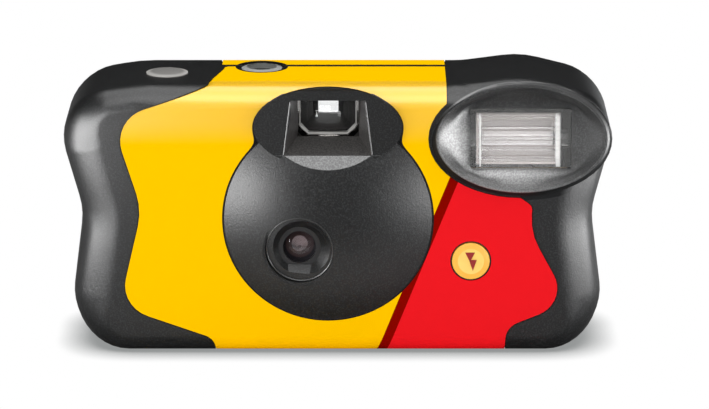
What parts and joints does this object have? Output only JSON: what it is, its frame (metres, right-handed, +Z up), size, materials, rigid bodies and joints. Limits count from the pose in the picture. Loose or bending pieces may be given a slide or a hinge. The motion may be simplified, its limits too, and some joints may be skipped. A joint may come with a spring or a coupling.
{
  "type": "disposable film camera",
  "caption": "Single-use film camera with wavy grips, a round lens bulge, viewfinder nose, oval flash, thumbwheel film advance, shutter and flash buttons and a bottom film door.",
  "frame": {"origin": "centre of the bounding box's bottom face, on the plane the camera stands on", "axes": "+X to the camera's right side as seen from its front (towards the flash), +Y from front to back, +Z up"},
  "size_m": [0.12, 0.0382, 0.0613],
  "materials": {
    "black_plastic": "satin, finely textured",
    "chassis_plastic": "matt",
    "label_sheet": "glossy printed sheet",
    "clear_plastic": "clear moulded",
    "tube_glass": "clear",
    "can_metal": "printed",
    "film": "glossy",
    "white_plastic": "satin",
    "grey_plastic": "satin",
    "spring_steel": "drawn wire",
    "blade_metal": "blackened",
    "reflector_foil": "bright",
    "board": "laminate",
    "sleeve": "shrunk sleeve",
    "core": "sintered",
    "winding": "varnished",
    "cell": "printed sleeve",
    "contact_brass": "sprung strip",
    "yellow_plastic": "glossy",
    "lamp_plastic": "clear orange"
  },
  "bodies": {
    "body": {"front_cover": "black_plastic", "rear_cover": "black_plastic", "front_label": "label_sheet", "rear_label": "label_sheet", "viewfinder_eyepiece": "clear_plastic", "counter_window": "clear_plastic", "flash_window": "clear_plastic", "ready_lamp": "lamp_plastic", "main_frame": "chassis_plastic", "lens_holder": "black_plastic", "lens_ring": "black_plastic", "taking_lens": "clear_plastic", "viewfinder_tube": "black_plastic", "viewfinder_lens": "clear_plastic", "film_cartridge": "can_metal", "film_strip": "film", "flash_reflector": "reflector_foil", "flash_tube": "tube_glass", "flash_board": "board", "capacitor": "sleeve", "transformer": "core", "trigger_coil": "winding", "battery": "cell", "battery_contact_positive": "contact_brass", "battery_contact_negative": "contact_brass", "flash_switch": "contact_brass", "release_spring": "spring_steel", "striker_spring": "spring_steel", "shutter_spring": "spring_steel"},
    "shutter_button": {"shutter_button": "grey_plastic"},
    "release_lever": {"release_lever": "white_plastic"},
    "striker_lever": {"striker_lever": "white_plastic"},
    "shutter_blade": {"shutter_blade": "blade_metal"},
    "flash_button": {"flash_button": "yellow_plastic"},
    "advance": {"thumbwheel": "chassis_plastic", "cartridge_spool": "chassis_plastic"},
    "sprocket": {"sprocket": "white_plastic"},
    "supply_roll": {"supply_roll": "film"},
    "counter_wheel": {"counter_wheel": "white_plastic"},
    "film_door": {"film_door": "black_plastic"}
  },
  "joints": [
    {"name": "shutter_press", "type": "slide", "parent": "body", "child": "shutter_button", "axis": [0, 0, -1], "range_m": [0, 0.0013], "stiffness_N_per_m": 250},
    {"name": "release_rock", "type": "hinge", "parent": "body", "child": "release_lever", "pos_m": [-0.0202, -0.0032, 0.05331], "axis": [0, -1, 0], "range_deg": [0, 4.4], "deforming": ["release_spring"]},
    {"name": "striker_swing", "type": "hinge", "parent": "body", "child": "striker_lever", "pos_m": [-0.0115, -0.0015, 0.0448], "axis": [0, 0, 1], "range_deg": [0, 18], "stiffness_Nm_per_rad": 0.004, "deforming": ["striker_spring"]},
    {"name": "blade_swing", "type": "hinge", "parent": "body", "child": "shutter_blade", "pos_m": [-0.0146, -0.00785, 0.032], "axis": [0, -1, 0], "range_deg": [0, 26], "stiffness_Nm_per_rad": 0.001, "deforming": ["shutter_spring"]},
    {"name": "flash_press", "type": "slide", "parent": "body", "child": "flash_button", "axis": [0, 1, 0], "range_m": [0, 0.0006], "stiffness_N_per_m": 300, "deforming": ["flash_switch"]},
    {"name": "film_advance", "type": "hinge", "parent": "body", "child": "advance", "pos_m": [-0.0382, 0.0035, 0.049], "axis": [0, 0, 1], "continuous": true},
    {"name": "sprocket_turn", "type": "hinge", "parent": "body", "child": "sprocket", "pos_m": [-0.0125, 0.00695, 0.045], "axis": [0, 0, 1], "continuous": true},
    {"name": "supply_turn", "type": "hinge", "parent": "body", "child": "supply_roll", "pos_m": [0.039, 0.0035, 0.0246], "axis": [0, 0, 1], "continuous": true},
    {"name": "counter_turn", "type": "hinge", "parent": "body", "child": "counter_wheel", "pos_m": [-0.0195, 0.0018, 0.0557], "axis": [0, 0, 1], "continuous": true},
    {"name": "door_swing", "type": "hinge", "parent": "body", "child": "film_door", "pos_m": [-0.0382, -0.0077, 0.0007], "axis": [-1, 0, 0], "range_deg": [0, 100]}
  ],
  "couplings": [
    {"joint": "release_rock", "follows": "shutter_press", "rad_per_m": 58.14},
    {"joint": "sprocket_turn", "follows": "film_advance", "ratio": 1.2236},
    {"joint": "supply_turn", "follows": "film_advance", "ratio": 0.7914},
    {"joint": "counter_turn", "follows": "film_advance", "ratio": -0.03399}
  ]
}
